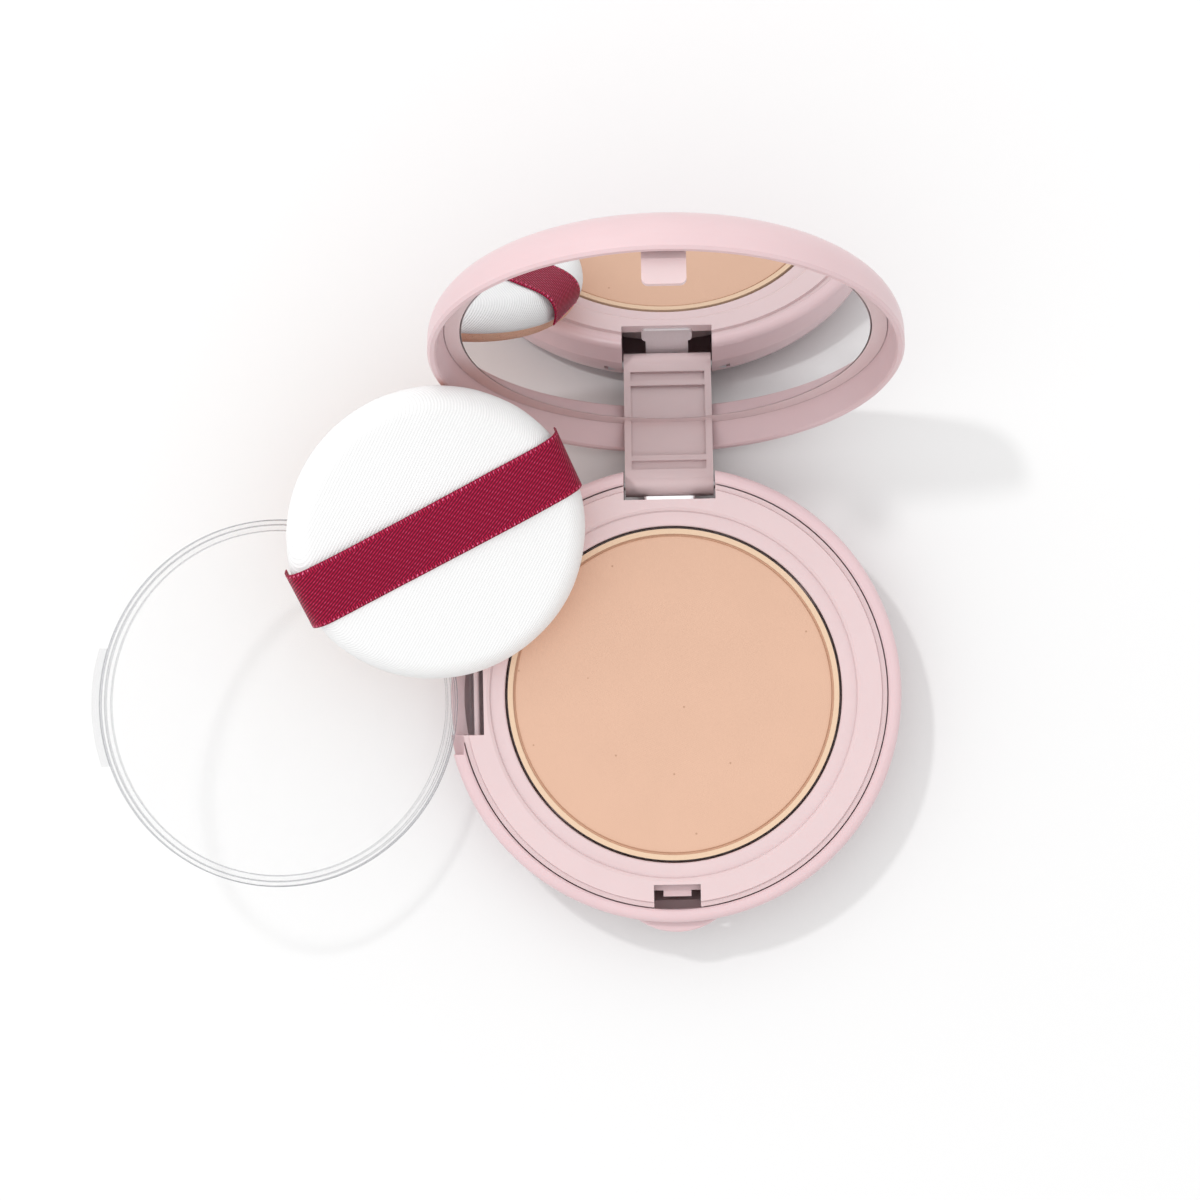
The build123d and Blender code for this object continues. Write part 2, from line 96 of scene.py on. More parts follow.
# ---- node trees -----------------------------------------------------------------------------
class Field:
    """A number that varies over a surface. Sums and products of fields add Math nodes."""

    def __init__(self, tree, socket):
        self.tree = tree
        self.socket = socket

    def reckon(self, operation, *others):
        values = dict(enumerate((self, *others)))
        return self.tree.add("ShaderNodeMath", {"operation": operation}, values)[0]

    def __add__(self, other):
        return self.reckon("ADD", other)

    def __radd__(self, other):
        return self.reckon("ADD", other)

    def __sub__(self, other):
        return self.reckon("SUBTRACT", other)

    def __rsub__(self, other):
        return (self * -1.0).reckon("ADD", other)

    def __mul__(self, other):
        return self.reckon("MULTIPLY", other)

    def __rmul__(self, other):
        return self.reckon("MULTIPLY", other)

    def __truediv__(self, other):
        return self.reckon("DIVIDE", other)

    def __pow__(self, other):
        return self.reckon("POWER", other)

    def sine(self):
        return self.reckon("SINE")

    def whole(self):
        return self.reckon("FLOOR")

    def size(self):
        return self.reckon("ABSOLUTE")

    def root(self):
        return self.reckon("SQRT")

    def least(self, other):
        return self.reckon("MINIMUM", other)

    def ramp(self, low, high):
        """0 at low and 1 at high, smooth between and held outside; low may be above high."""
        settings = {"interpolation_type": "SMOOTHSTEP"}
        ends = {"Value": self, "From Min": low, "From Max": high}
        if low > high:
            ends = {"Value": self, "From Min": high, "From Max": low, "To Min": 1.0, "To Max": 0.0}
        return self.tree.add("ShaderNodeMapRange", settings, ends)[0]


class Tree:
    """A node tree under construction."""

    def __init__(self, node_tree):
        self.nodes = node_tree.nodes
        self.links = node_tree.links

    def add(self, kind, settings=None, inputs=None):
        """Adds a node with its settings first, then the values or links of its sockets."""
        made = self.nodes.new(kind)
        for key, value in (settings or {}).items():
            setattr(made, key, value)
        for key, value in (inputs or {}).items():
            if isinstance(value, Field):
                self.links.new(value.socket, made.inputs[key])
            else:
                made.inputs[key].default_value = value
        return [Field(self, socket) for socket in made.outputs]


class Finish(Tree):
    """A material's tree, with the patterns that this compact's finishes share."""

    def __init__(self, name, place=CLOSED_FRAME):
        self.material = bpy.data.materials.new(name)
        self.material.use_nodes = True
        super().__init__(self.material.node_tree)
        self.nodes.clear()
        self.place = place

    def coordinates(self):
        """Object coordinates, turned into the part's own axes."""
        here = self.add("ShaderNodeTexCoord")[3]
        where, turn, _ = self.place.decompose()
        inputs = {"Vector": here, "Location": where, "Rotation": turn.to_euler()}
        return self.add("ShaderNodeMapping", {"vector_type": "TEXTURE"}, inputs)[0]

    def split(self, vector):
        return self.add("ShaderNodeSeparateXYZ", None, {"Vector": vector})

    def grain(self, vector, size, detail=2.0, rough=0.5):
        """Noise from 0 to 1 whose lumps are about size across."""
        inputs = {"Vector": vector, "Scale": 1.0 / size, "Detail": detail, "Roughness": rough}
        return self.add("ShaderNodeTexNoise", None, inputs)[0]

    def cells(self, vector, size):
        """Distance to the nearest of many random points, in cells of about size."""
        inputs = {"Vector": vector, "Scale": 1.0 / size}
        return self.add("ShaderNodeTexVoronoi", None, inputs)[0]

    def tint(self, share, base, other):
        """A colour between base and other."""
        inputs = {0: share, 6: base, 7: other}
        return self.add("ShaderNodeMix", {"data_type": "RGBA"}, inputs)[2]

    def bump(self, height, depth):
        """A normal from a height of 0 to 1 that stands for depth in metres."""
        return self.add("ShaderNodeBump", None, {"Height": height, "Distance": depth})[0]

    def surface(self, **sockets):
        inputs = {key.replace("_", " "): value for key, value in sockets.items()}
        return self.add("ShaderNodeBsdfPrincipled", None, inputs)[0]

    def done(self, shader):
        self.add("ShaderNodeOutputMaterial", None, {"Surface": shader})
        return self.material


def rgba(colour, share=1.0):
    return (colour[0] * share, colour[1] * share, colour[2] * share, 1.0)


def plastic(name, place, colour, roughness):
    """Moulded plastic: faint flow shading, fine spark-eroded texture and a satin gloss."""
    paint = Finish(name, place)
    here = paint.coordinates()
    flow = paint.grain(here, 9 * MM, 3.0)
    texture = paint.grain(here, 0.22 * MM, 3.0, 0.6)
    peel = paint.grain(here, 2.4 * MM, 1.0)
    shade = paint.tint(flow.ramp(0.3, 0.7), rgba(colour, 0.990), rgba(colour, 1.008))
    gloss = texture * 0.10 + flow * 0.06 + (roughness - 0.08)
    relief = paint.bump(texture * 0.35 + peel, 0.006 * MM)
    return paint.done(
        paint.surface(
            Base_Color=shade,
            Roughness=gloss,
            Normal=relief,
            Subsurface_Weight=0.12,
            Subsurface_Radius=(0.9, 0.5, 0.45),
            Subsurface_Scale=0.9 * MM,
        )
    )


def metal(name, place, colour, roughness, stretch):
    """Rolled or drawn metal, with fine lines along one axis."""
    paint = Finish(name, place)
    here = paint.coordinates()
    drawn = paint.add("ShaderNodeMapping", None, {"Vector": here, "Scale": stretch})[0]
    lines = paint.grain(drawn, 0.12 * MM, 3.0, 0.6)
    smudge = paint.grain(here, 3 * MM, 2.0)
    return paint.done(
        paint.surface(
            Base_Color=paint.tint(lines, rgba(colour, 0.92), rgba(colour, 1.05)),
            Metallic=1.0,
            Roughness=lines * 0.16 + smudge * 0.1 + (roughness - 0.1),
            Normal=paint.bump(lines, 0.004 * MM),
        )
    )


def wear(node, material):
    """Gives a CAD part its finish."""
    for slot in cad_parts[node].material_slots:
        slot.material = material


# ---- mesh helpers -----------------------------------------------------------------------------
def keep(mesh, name, material, body="puff"):
    """Turns a mesh into a piece of the object that rides on a body."""
    piece = bpy.data.objects.new(name, mesh)
    bpy.context.scene.collection.objects.link(piece)
    mesh.materials.clear()
    mesh.materials.append(material)
    for face in mesh.polygons:
        face.use_smooth = True
    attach(piece, body)
    return piece


def turned(name, profile, steps, wobble):
    """A closed turned form about Z. The profile starts and ends on the axis."""
    shape = bmesh.new()
    rings = []
    for radius, height in profile:
        if radius == 0:
            rings.append([shape.verts.new((0, 0, height))])
            continue
        ring = []
        for step in range(steps):
            angle = 2 * pi * step / steps
            r, z = wobble(radius, height, angle)
            ring.append(shape.verts.new((r * cos(angle), r * sin(angle), z)))
        rings.append(ring)
    for low, high in zip(rings, rings[1:]):
        for step in range(steps):
            ahead = (step + 1) % steps
            corners = [low[step % len(low)], low[ahead % len(low)]]
            corners += [high[ahead % len(high)], high[step % len(high)]]
            shape.faces.new(list(dict.fromkeys(corners)))
    bmesh.ops.recalc_face_normals(shape, faces=shape.faces)
    shape.transform(PUFF_FRAME)
    mesh = bpy.data.meshes.new(name)
    shape.to_mesh(mesh)
    shape.free()
    return mesh


def eased(points, steps):
    """A smooth line through points, with the given number of steps between two of them."""
    line = []
    for i in range(len(points) - 1):
        before = points[max(i - 1, 0)]
        after = points[min(i + 2, len(points) - 1)]
        a, b = points[i], points[i + 1]
        for k in range(steps):
            t = k / steps
            bend = 2 * a + (b - before) * t + (2 * before - 5 * a + 4 * b - after) * t**2
            line.append((bend + (3 * a - before - 3 * b + after) * t**3) / 2)
    line.append(points[-1])
    return line


# ---- what a user would change -------------------------------------------------------------------
def colour_prop(name, words, default):
    return FloatVectorProperty(
        name=name, description=words, default=default, subtype="COLOR", size=3, min=0, max=1
    )


def length_prop(name, words, default):
    return FloatProperty(
        name=name, description=words, default=default, unit="LENGTH", min=0, precision=5
    )


class ShellLook(bpy.types.PropertyGroup):
    outside: colour_prop(
        "Outside", "Colour of the lid, the base and the button", (0.615, 0.450, 0.466)
    )
    inside: colour_prop("Inside", "Colour of the inner frames", (0.615, 0.472, 0.478))
    gloss: FloatProperty(
        name="Roughness", description="Roughness of the plastic", default=0.34, min=0, max=1
    )
    # Painted refraction: this grey stands in for the dark surroundings seen through the clear
    # cover's rim steps.
    clear: colour_prop("Clear", "Colour of the clear cover's edges", (0.27, 0.28, 0.30))
    film: FloatProperty(
        name="Film", description="How much the clear disc hides", default=0.004, min=0, max=1
    )


class PowderLook(bpy.types.PropertyGroup):
    powder: colour_prop("Powder", "Colour of the pressed powder", (0.61, 0.39, 0.285))
    pan: colour_prop("Pan", "Colour of the pan's dusted edge", (0.64, 0.46, 0.32))
    cloth_mark: length_prop("Cloth mark", "Pitch of the mark the pressing cloth leaves", 0.42 * MM)


class PuffLook(bpy.types.PropertyGroup):
    radius: length_prop("Radius", "Outer radius of the cloth top", 25.8 * MM)
    thickness: length_prop("Thickness", "Height of the cloth top over the sole", 7.4 * MM)
    crown: length_prop("Crown", "How far the top swells in its middle", 0.35 * MM)
    seam: length_prop("Seam", "Height of the seam between cloth and sponge", 2.45 * MM)
    tuck: length_prop("Tuck", "How far the sponge stands back from the cloth", 0.45 * MM)
    weave: length_prop("Weave", "Pitch of the cloth's twill", 0.5 * MM)
    cloth: colour_prop("Cloth", "Colour of the cloth", (0.80, 0.80, 0.80))
    sponge: colour_prop("Sponge", "Colour of the sponge", (0.72, 0.42, 0.30))


class RibbonLook(bpy.types.PropertyGroup):
    width: length_prop("Width", "Width of the ribbon", 10.4 * MM)
    thickness: length_prop("Thickness", "Thickness of the ribbon", 0.25 * MM)
    aside: length_prop("Aside", "How far the ribbon lies off the puff's middle", 1.3 * MM)
    reach: FloatProperty(
        name="Reach",
        description="Share of the puff's width that the ribbon spans",
        default=0.985,
        min=0,
    )
    twill: length_prop("Twill", "Pitch of the satin's slanting lines", 0.46 * MM)
    loop_pitch: length_prop("Loop pitch", "Distance between the selvedge loops", 0.88 * MM)
    stitch_pitch: length_prop("Stitch pitch", "Distance between the stitches", 1.3 * MM)
    # Painted shade: the colour between the threads stands in for shade in the weave.
    painted_thread_shade: colour_prop("Dark", "Colour between the threads", (0.09, 0.0005, 0.008))
    satin: colour_prop("Satin", "Colour of the satin", (0.36, 0.0015, 0.030))
    # Painted highlight: this pale colour stands in for glints on the shiny threads.
    painted_glint: colour_prop("Glint", "Colour of the brightest threads", (0.75, 0.16, 0.32))
    seed: IntProperty(name="Seed", description="Seed of the loops' variation", default=4)


class StageLook(bpy.types.PropertyGroup):
    floor: colour_prop("Floor", "Colour of the floor", (0.71, 0.71, 0.71))
    fill: FloatProperty(name="Fill", description="Strength of the light all round", default=1.23)
    key: FloatProperty(
        name="Key", description="Power of the key light", default=3.7, unit="POWER", min=0
    )
    key_from: FloatVectorProperty(
        name="Key from", description="Direction of the key light", default=(-0.45, 0.52, 1.0)
    )
    lens: FloatProperty(name="Lens", description="Focal length in mm", default=101.5, min=1)
    eye: FloatVectorProperty(
        name="Eye",
        description="Place of the camera",
        default=(0.00203, 0.00939, 0.6064),
        unit="LENGTH",
    )


def looks():
    return bpy.context.scene.compact_looks


class CompactLooks(bpy.types.PropertyGroup):
    shell: PointerProperty(type=ShellLook)
    powder: PointerProperty(type=PowderLook)
    puff: PointerProperty(type=PuffLook)
    ribbon: PointerProperty(type=RibbonLook)
    stage: PointerProperty(type=StageLook)


# ---- stage --------------------------------------------------------------------------------------
class COMPACT_OT_stage(bpy.types.Operator):
    """Pale floor, soft light all round, a key light from the rear left, and the camera"""

    bl_idname = "compact.stage"
    bl_label = "Stage"
    floor_half = 2.5
    floor_height = -0.05 * MM
    lamp_width = 0.075
    lamp_distance = 1.25
    lens_shift = (-0.0700, 0.0339)
    camera_turn = radians(-1.14)

    def execute(self, context):
        look = looks().stage
        scene = context.scene
        scene.view_settings.view_transform = "Standard"

        paint = Finish("floor paper")
        here = paint.coordinates()
        fibre = paint.grain(here, 0.8 * MM, 3.0)
        shade = paint.tint(fibre, rgba(look.floor, 0.995), rgba(look.floor, 1.0))
        mesh = bpy.data.meshes.new("floor")
        half, low = self.floor_half, self.floor_height
        corners = [(-half, -half, low), (half, -half, low), (half, half, low), (-half, half, low)]
        mesh.from_pydata(corners, [], [(0, 1, 2, 3)])
        mesh.materials.append(paint.done(paint.surface(Base_Color=shade, Roughness=0.9)))
        floor = bpy.data.objects.new("floor", mesh)
        scene.collection.objects.link(floor)

        world = bpy.data.worlds.new("studio")
        world.use_nodes = True
        sky = Tree(world.node_tree)
        sky.nodes.clear()
        ray = sky.add("ShaderNodeTexCoord")[0]
        side, ahead, up = sky.add("ShaderNodeSeparateXYZ", None, {"Vector": ray})
        level = (up * 0.22 + ahead * 0.10 - side * 0.10 + 0.86) * look.fill
        light = sky.add("ShaderNodeBackground", None, {"Color": (1, 1, 1, 1), "Strength": level})[0]
        sky.add("ShaderNodeOutputWorld", None, {"Surface": light})
        scene.world = world

        lamp = bpy.data.lights.new("key", "AREA")
        lamp.shape = "DISK"
        lamp.size = self.lamp_width
        lamp.energy = look.key
        key = bpy.data.objects.new("key", lamp)
        toward = Vector(look.key_from).normalized()
        key.location = toward * self.lamp_distance
        key.rotation_euler = toward.to_track_quat("Z", "Y").to_euler()
        scene.collection.objects.link(key)
        # Only the solid nodes cast this light's shadow; the cloth, the sponge and the ribbon don't.
        hard = bpy.data.collections.new("hard parts")
        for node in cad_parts.values():
            hard.objects.link(node)
        key.light_linking.blocker_collection = hard

        lens = bpy.data.cameras.new("camera")
        lens.sensor_width = 36.0
        lens.lens = look.lens
        lens.shift_x, lens.shift_y = self.lens_shift
        lens.clip_start = 0.01
        camera = bpy.data.objects.new("camera", lens)
        camera.location = look.eye
        camera.rotation_euler = (0, 0, self.camera_turn)
        scene.collection.objects.link(camera)
        scene.camera = camera
        return {"FINISHED"}


# ---- moulded parts ------------------------------------------------------------------------------
class COMPACT_OT_shells(bpy.types.Operator):
    """Satin plastic on the lid, the base, the inner frames and the button"""

    bl_idname = "compact.shells"
    bl_label = "Shells"

    def execute(self, context):
        look = looks().shell
        outside, inside, gloss = tuple(look.outside), tuple(look.inside), look.gloss
        wear("base_shell", plastic("base plastic", CLOSED_FRAME, outside, gloss))
        wear("latch_button", plastic("button plastic", CLOSED_FRAME, outside, gloss - 0.03))
        wear("base_frame", plastic("base frame plastic", CLOSED_FRAME, inside, gloss - 0.02))
        wear("lid_shell", plastic("lid plastic", LID_FRAME, outside, gloss))
        wear("lid_inner_frame", plastic("lid frame plastic", LID_FRAME, inside, gloss - 0.02))
        wear("cover_hinge_pin", plastic("cover pin plastic", CLOSED_FRAME, inside, gloss))
        return {"FINISHED"}


class COMPACT_OT_metalwork(bpy.types.Operator):
    """The lid's hinge pin, the pale leaf in the hinge notch, the latch spring and the adhesives"""

    bl_idname = "compact.metalwork"
    bl_label = "Metalwork"

    def execute(self, context):
        drawn = metal("drawn steel", CLOSED_FRAME, (0.62, 0.62, 0.63), 0.30, (0.1, 1, 1))
        wear("lid_hinge_pin", drawn)
        spring = metal("spring steel", CLOSED_FRAME, (0.55, 0.55, 0.56), 0.32, (0.1, 1, 1))
        wear("latch_spring", spring)
        leaf = metal("pale leaf", CLOSED_FRAME, (0.86, 0.86, 0.87), 0.42, (1, 1, 0.1))
        wear("hinge_spring_plate", leaf)

        paint = Finish("adhesive")
        here = paint.coordinates()
        flecks = paint.grain(here, 0.6 * MM, 3.0)
        paste = paint.surface(
            Base_Color=paint.tint(flecks, (0.62, 0.57, 0.46, 1), (0.78, 0.74, 0.64, 1)),
            Roughness=0.55,
            Normal=paint.bump(flecks, 0.05 * MM),
        )
        glue = paint.done(paste)
        wear("pan_adhesive", glue)
        wear("mirror_adhesive", glue)
        return {"FINISHED"}


class COMPACT_OT_mirror(bpy.types.Operator):
    """Silvered glass in the lid"""

    bl_idname = "compact.mirror"
    bl_label = "Mirror"

    def execute(self, context):
        paint = Finish("silvered glass", LID_FRAME)
        here = paint.coordinates()
        across, ahead, _ = paint.split(here)
        radius = (across * across + ahead * ahead).root()
        rim = radius.ramp(34.25 * MM, 34.45 * MM)
        haze = paint.grain(here, 6 * MM, 3.0)
        wear(
            "mirror",
            paint.done(
                paint.surface(
                    Base_Color=paint.tint(rim, (0.90, 0.905, 0.91, 1), (0.55, 0.60, 0.60, 1)),
                    Metallic=1.0,
                    Roughness=rim * 0.2 + haze.ramp(0.6, 0.9) * 0.02 + 0.004,
                )
            ),
        )
        return {"FINISHED"}


class COMPACT_OT_clear_cover(bpy.types.Operator):
    """Water-clear plastic whose stepped rim shows as thin lines of painted grey in place of
    refraction
    """

    bl_idname = "compact.clear_cover"
    bl_label = "Clear Cover"

    def execute(self, context):
        look = looks().shell
        paint = Finish("clear plastic", COVER_FRAME)
        here = paint.coordinates()
        across, ahead, _ = paint.split(here)
        radius = (across * across + ahead * ahead).root()
        # Painted refraction: the three rim lines show the grey body colour in place of the dark
        # surroundings seen through the stepped rim.
        lines = 0.0
        for place, width, share in ((31.62, 0.22, 0.62), (30.78, 0.20, 0.50), (29.78, 0.18, 0.42)):
            near = (radius - place * MM).size().ramp(width * MM, 0.0)
            lines = near * share + lines
        rim = radius.ramp(29.7 * MM, 30.0 * MM) * 0.025
        knuckle = (across + 31.8 * MM).ramp(0.4 * MM, -0.6 * MM) * 0.03
        tab = radius.ramp(31.75 * MM, 31.9 * MM) * across.ramp(20 * MM, 24 * MM) * 0.06
        scratch = paint.grain(here, 14 * MM, 4.0).ramp(0.66, 0.78) * 0.01
        sheen = paint.add("ShaderNodeLayerWeight", None, {"Blend": 0.35})[1]
        solid = (lines + rim + knuckle + tab + scratch + sheen**4.0 * 0.5 + look.film).least(1.0)
        flow = paint.grain(here, 4 * MM, 2.0)
        # Painted refraction: wherever the plastic shows, its grey base colour stands in for the
        # surroundings seen through it.
        body = paint.surface(
            Base_Color=rgba(look.clear),
            Roughness=0.08,
            Specular_IOR_Level=0.7,
            Normal=paint.bump(flow, 0.01 * MM),
        )
        nothing = paint.add("ShaderNodeBsdfTransparent", None, {"Color": (1, 1, 1, 1)})[0]
        mixed = paint.add("ShaderNodeMixShader", None, {0: solid, 1: nothing, 2: body})[0]
        wear("clear_cover", paint.done(mixed))
        return {"FINISHED"}


class COMPACT_OT_powder(bpy.types.Operator):
    """Pressed powder with the mark of its pressing cloth, in a dusted metal pan"""

    bl_idname = "compact.powder"
    bl_label = "Powder and Pan"

    def execute(self, context):
        look = looks().powder
        paint = Finish("pressed powder")
        here = paint.coordinates()
        across, ahead, _ = paint.split(here)
        turn = 2 * pi / look.cloth_mark
        drift = paint.grain(here, 5 * MM, 2.0) * 5.0
        warp = ((across * 0.94 + ahead * 0.34) * turn + drift).sine()
        weft = ((ahead * 0.94 - across * 0.34) * turn + drift).sine()
        cloth = warp * weft * 0.5 + 0.5
        crumb = paint.grain(here, 0.16 * MM, 4.0, 0.7)
        cloud = paint.grain(here, 11 * MM, 3.0, 0.6)
        radius = (across * across + ahead * ahead).root()
        edge = radius.ramp(27.2 * MM, 27.9 * MM)
        speck = paint.cells(here, 5.5 * MM).ramp(0.045, 0.02)
        height = cloth * 0.30 + crumb * 0.6 + paint.grain(here, 0.9 * MM, 2.0) * 0.35
        shade = paint.tint(cloud.ramp(0.3, 0.7), rgba(look.powder, 0.988), rgba(look.powder, 1.010))
        # Painted shade: the low points of the cloth mark and the crumbs are darkened towards brown.
        painted_hollow_shade = paint.tint(0.10, shade, (0.35, 0.18, 0.10, 1))
        shade = paint.tint(cloth * 0.5 + crumb * 0.5, painted_hollow_shade, shade)
        # Painted shade: the powder darkens towards its rim, in the corner by the pan wall.
        shade = paint.tint(edge * 0.16, shade, (0.42, 0.22, 0.12, 1))
        shade = paint.tint(speck * 0.45, shade, (0.22, 0.10, 0.05, 1))
        pressed = paint.surface(
            Base_Color=shade,
            Roughness=0.92,
            Specular_IOR_Level=0.25,
            Normal=paint.bump(height, 0.035 * MM),
        )
        wear("pressed_powder", paint.done(pressed))

        paint = Finish("dusted pan")
        here = paint.coordinates()
        dust = paint.grain(here, 0.5 * MM, 4.0, 0.7)
        fine = paint.grain(here, 0.12 * MM, 2.0)
        bare = dust.ramp(0.62, 0.72)
        coat = paint.surface(
            Base_Color=paint.tint(dust, rgba(look.pan, 0.93), rgba(look.pan, 1.06)),
            Roughness=0.62 - bare * 0.25,
            Metallic=bare * 0.6,
            Normal=paint.bump(dust * 0.6 + fine * 0.4, 0.02 * MM),
        )
        wear("powder_pan", paint.done(coat))
        return {"FINISHED"}


# ---- puff ---------------------------------------------------------------------------------------
class COMPACT_OT_puff(bpy.types.Operator):
    """The puff's twill cloth top and its sponge underside"""

    bl_idname = "compact.puff"
    bl_label = "Puff"
    steps = 180

    def execute(self, context):
        look = looks().puff
        reach, top, seam = look.radius, look.thickness, look.seam

        def swell(radius, height, angle):
            """Crown, slack of the cloth, and the dents where the ribbon pulls at the edge."""
            spot = Vector((radius * cos(angle), radius * sin(angle), height)) * 90
            lump = noise.noise(spot) * 0.10 * MM + noise.noise(spot * 3.1) * 0.035 * MM
            lift = look.crown * (1 - (radius / reach) ** 2) if height > seam + 2 * MM else 0
            tug = max(0.0, abs(cos(angle)) - 0.975) / 0.025
            share = min(1.0, radius / reach) ** 8
            return radius + (lump - 0.22 * MM * tug) * share, height + lift + lump * (1 - share)

        cloth = [(0, seam - 0.25 * MM), (reach - 2 * MM, seam - 0.2 * MM)]
        cloth.append((reach - 0.35 * MM, seam))
        bend = 3.9 * MM
        shoulder = top - bend
        for step in range(13):
            angle = radians(-12 + step * 8.5)
            cloth.append((reach - bend + bend * cos(angle), shoulder + bend * sin(angle)))
        cloth += [(radius * MM, top) for radius in (20, 18, 16, 14, 12, 10, 8, 6, 4, 2)]
        cloth.append((0, top + look.crown))
        shape = turned("puff_cloth", cloth, self.steps, swell)
        pad = keep(shape, "puff_cloth", self.twill(look))
        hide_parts("puff_cover", "puff_foam")

        edge = reach - look.tuck

        def soft(radius, height, angle):
            spot = Vector((radius * cos(angle), radius * sin(angle), height)) * 140
            lump = noise.noise(spot) * 0.08 * MM
            return radius + lump * min(1.0, radius / edge) ** 6, height + max(lump, -0.5 * height)

        sole = [(0, 0.0)]
        sole += [(radius * MM, 0.0) for radius in (3, 6, 9, 12, 15, 18, 21, 23)]
        round_over = 1.9 * MM
        for step in range(1, 8):
            angle = radians(-90 + step * 12)
            out = edge - round_over + round_over * cos(angle)
            sole.append((out, round_over + round_over * sin(angle)))
        sole += [(edge + 0.12 * MM, seam - 0.1 * MM), (edge + 0.10 * MM, seam + 0.12 * MM)]
        sole += [(edge - 0.35 * MM, seam + 0.08 * MM), (edge - 1.5 * MM, seam - 0.4 * MM)]
        sole.append((0, seam - 0.4 * MM))
        shape = turned("puff_sole", sole, self.steps, soft)
        pad = keep(shape, "puff_sole", self.sponge(look))
        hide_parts("puff_sponge")
        return {"FINISHED"}

    def twill(self, look):
        """White twill: slanting ribs crossed by fine threads, with a little fuzz."""
        paint = Finish("puff cloth", PUFF_FRAME)
        here = paint.coordinates()
        across, ahead, height = paint.split(here)
        turn = 2 * pi / look.weave
        stray = paint.grain(here, 4 * MM, 2.0) * 2.0
        ribs = ((ahead * 0.81 - across * 0.59 + height) * turn + stray).sine() * 0.5 + 0.5
        threads = ((across * 0.81 + ahead * 0.59 - height) * turn * 1.6 + stray).sine() * 0.5 + 0.5
        fuzz = paint.grain(here, 0.14 * MM, 4.0, 0.7)
        relief = ribs * 0.55 + threads * 0.2 + fuzz * 0.5
        # Partly painted shade: the grooves between the twill's ribs are darker. The fuzz adds
        # random tone.
        shade = paint.tint(ribs * 0.6 + fuzz * 0.4, rgba(look.cloth, 0.86), rgba(look.cloth, 1.04))
        woven = paint.surface(
            Base_Color=shade,
            Roughness=0.9,
            Sheen_Weight=0.25,
            Sheen_Roughness=0.5,
            Normal=paint.bump(relief, 0.08 * MM),
        )
        return paint.done(woven)

    def sponge(self, look):
        """Peach latex sponge with fine pores."""
        paint = Finish("puff sponge", PUFF_FRAME)
        here = paint.coordinates()
        pores = paint.cells(here, 0.45 * MM)
        small = paint.grain(here, 0.2 * MM, 3.0, 0.6)
        cloud = paint.grain(here, 6 * MM, 2.0)
        # Painted shade: the sponge's open pores are darkened where shade falls inside them.
        painted_pore_shade = pores.ramp(0.35, 0.1)
        shade = paint.tint(cloud, rgba(look.sponge, 0.95), rgba(look.sponge, 1.04))
        shade = paint.tint(painted_pore_shade * 0.5, shade, rgba(look.sponge, 0.62))
        foam = paint.surface(
            Base_Color=shade,
            Roughness=0.85,
            Subsurface_Weight=0.2,
            Subsurface_Radius=(1.0, 0.5, 0.35),
            Subsurface_Scale=1.2 * MM,
            Normal=paint.bump(pores * 0.7 + small * 0.4, 0.09 * MM),
        )
        return paint.done(foam)


# ---- ribbon -------------------------------------------------------------------------------------
def thread_row_tree():
    """Geometry Nodes: small thread loops set along a line at an even pitch."""
    group = bpy.data.node_groups.new("thread row", "GeometryNodeTree")
    face = group.interface
    face.new_socket("Line", in_out="INPUT", socket_type="NodeSocketGeometry")
    for name in ("Pitch", "Length", "Thickness"):
        face.new_socket(name, in_out="INPUT", socket_type="NodeSocketFloat")
    face.new_socket("Slant", in_out="INPUT", socket_type="NodeSocketFloat")
    face.new_socket("Seed", in_out="INPUT", socket_type="NodeSocketInt")
    face.new_socket("Thread", in_out="INPUT", socket_type="NodeSocketMaterial")
    face.new_socket("Loops", in_out="OUTPUT", socket_type="NodeSocketGeometry")
    tree = Tree(group)
    line, pitch, length, thickness, slant, seed, thread = tree.add("NodeGroupInput")[:7]
    curve = tree.add("GeometryNodeMeshToCurve", None, {0: line})[0]
    inputs = {"Curve": curve, "Length": pitch}
    points = tree.add("GeometryNodeResampleCurve", {"mode": "LENGTH"}, inputs)[0]
    way = tree.add("GeometryNodeInputTangent")[0]
    facing = tree.add("FunctionNodeAlignRotationToVector", {"axis": "X"}, {"Vector": way})[0]
    spread = tree.add(
        "FunctionNodeRandomValue", {"data_type": "FLOAT"}, {2: 0.75, 3: 1.25, "Seed": seed}
    )[1]
    tip = tree.add("ShaderNodeCombineXYZ", None, {"Z": slant})[0]
    local = {"rotation_space": "LOCAL"}
    leant = tree.add("FunctionNodeRotateRotation", local, {0: facing, 1: tip})[0]
    bead = tree.add("GeometryNodeMeshUVSphere", None, {"Segments": 8, "Rings": 5, "Radius": 0.5})[0]
    inputs = {"X": length * spread, "Y": thickness, "Z": thickness}
    size = tree.add("ShaderNodeCombineXYZ", None, inputs)[0]
    inputs = {"Points": points, "Instance": bead, "Rotation": leant, "Scale": size}
    loops = tree.add("GeometryNodeInstanceOnPoints", None, inputs)[0]
    real = tree.add("GeometryNodeRealizeInstances", None, {0: loops})[0]
    soft = tree.add("GeometryNodeSetShadeSmooth", None, {0: real})[0]
    dyed = tree.add("GeometryNodeSetMaterial", None, {"Geometry": soft, "Material": thread})[0]
    tree.add("NodeGroupOutput", None, {0: dyed})
    return group


